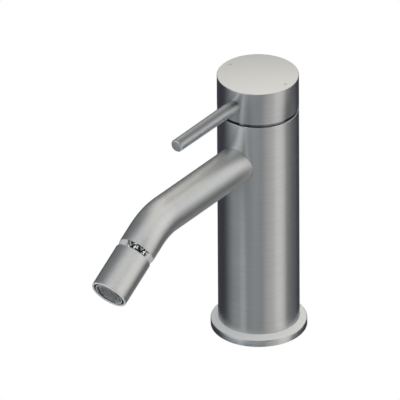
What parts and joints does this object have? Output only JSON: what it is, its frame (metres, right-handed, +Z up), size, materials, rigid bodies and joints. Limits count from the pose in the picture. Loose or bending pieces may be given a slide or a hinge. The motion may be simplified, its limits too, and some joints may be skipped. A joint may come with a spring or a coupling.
{
  "type": "bidet mixer tap",
  "caption": "Single-lever bidet mixer: brushed steel column with a round flange, pin lever, bent round spout and a nozzle on a ball joint.",
  "frame": {"origin": "centre of the column's foot, on the deck plane", "axes": "+Z up; the spout and the lever point along -Y; +X is on the cold side"},
  "size_m": [0.0534, 0.171, 0.1577],
  "materials": {
    "brushed_steel": "fine circumferential brushing",
    "pale_steel": "satin turned",
    "chrome": "polished",
    "brass": "machined",
    "copper": "drawn copper tube",
    "black_rubber": "matte",
    "white_plastic": "moulded",
    "blue_plastic": "moulded",
    "grey_plastic": "moulded",
    "ceramic": "lapped alumina ceramic",
    "steel_pin": "ground steel",
    "black_screw": "black oxide",
    "grey_enamel": "filled mark"
  },
  "bodies": {
    "column": {"base_flange": "pale_steel", "base_seal": "black_rubber", "foot_block": "brass", "hot_pipe": "copper", "cold_pipe": "copper", "pipe_seals": "black_rubber", "body_shell": "brushed_steel", "valve_core": "brass", "spout_tube": "brushed_steel", "port_plate": "white_plastic", "plate_seals": "black_rubber", "disc_seals": "black_rubber", "fixed_disc": "ceramic", "cartridge_housing": "white_plastic", "housing_seal": "black_rubber", "clamping_nut": "brass", "swivel_socket": "chrome", "socket_seal": "black_rubber", "ball_seal": "black_rubber", "ball_retainer": "brass"},
    "turning_part": {"spindle": "grey_plastic", "tilt_pin": "steel_pin"},
    "handle": {"stem": "brass", "cap": "brushed_steel", "groove_ring": "chrome", "index_dots": "grey_enamel", "lever_rod": "brushed_steel", "grub_screw": "black_screw"},
    "sliding_disc": {"disc_carrier": "blue_plastic", "moving_disc": "ceramic"},
    "ball_seat": {"ball_seat": "white_plastic"},
    "nozzle": {"ball_stem": "brass", "nozzle_shell": "brushed_steel", "aerator_seal": "black_rubber", "flow_insert": "white_plastic", "aerator_housing": "pale_steel", "outlet_grid": "grey_plastic"}
  },
  "joints": [
    {"name": "lever_turn", "type": "hinge", "parent": "column", "child": "turning_part", "pos_m": [0, 0, 0.1397], "axis": [0, 0, 1], "range_deg": [-45, 45]},
    {"name": "lever_lift", "type": "hinge", "parent": "turning_part", "child": "handle", "pos_m": [0, 0.0065, 0.1397], "axis": [-1, 0, 0], "range_deg": [0, 18]},
    {"name": "disc_slide", "type": "slide", "parent": "turning_part", "child": "sliding_disc", "axis": [0, -1, 0], "range_m": [0, 0.00526]},
    {"name": "nozzle_spin", "type": "hinge", "parent": "column", "child": "ball_seat", "pos_m": [0, -0.11313, 0.10001], "axis": [0, -0.8572, -0.515], "continuous": true},
    {"name": "nozzle_tilt", "type": "hinge", "parent": "ball_seat", "child": "nozzle", "pos_m": [0, -0.11313, 0.10001], "axis": [1, 0, 0], "range_deg": [-15, 15]}
  ],
  "couplings": [
    {"joint": "disc_slide", "follows": "lever_lift", "m_per_rad": 0.016673}
  ]
}
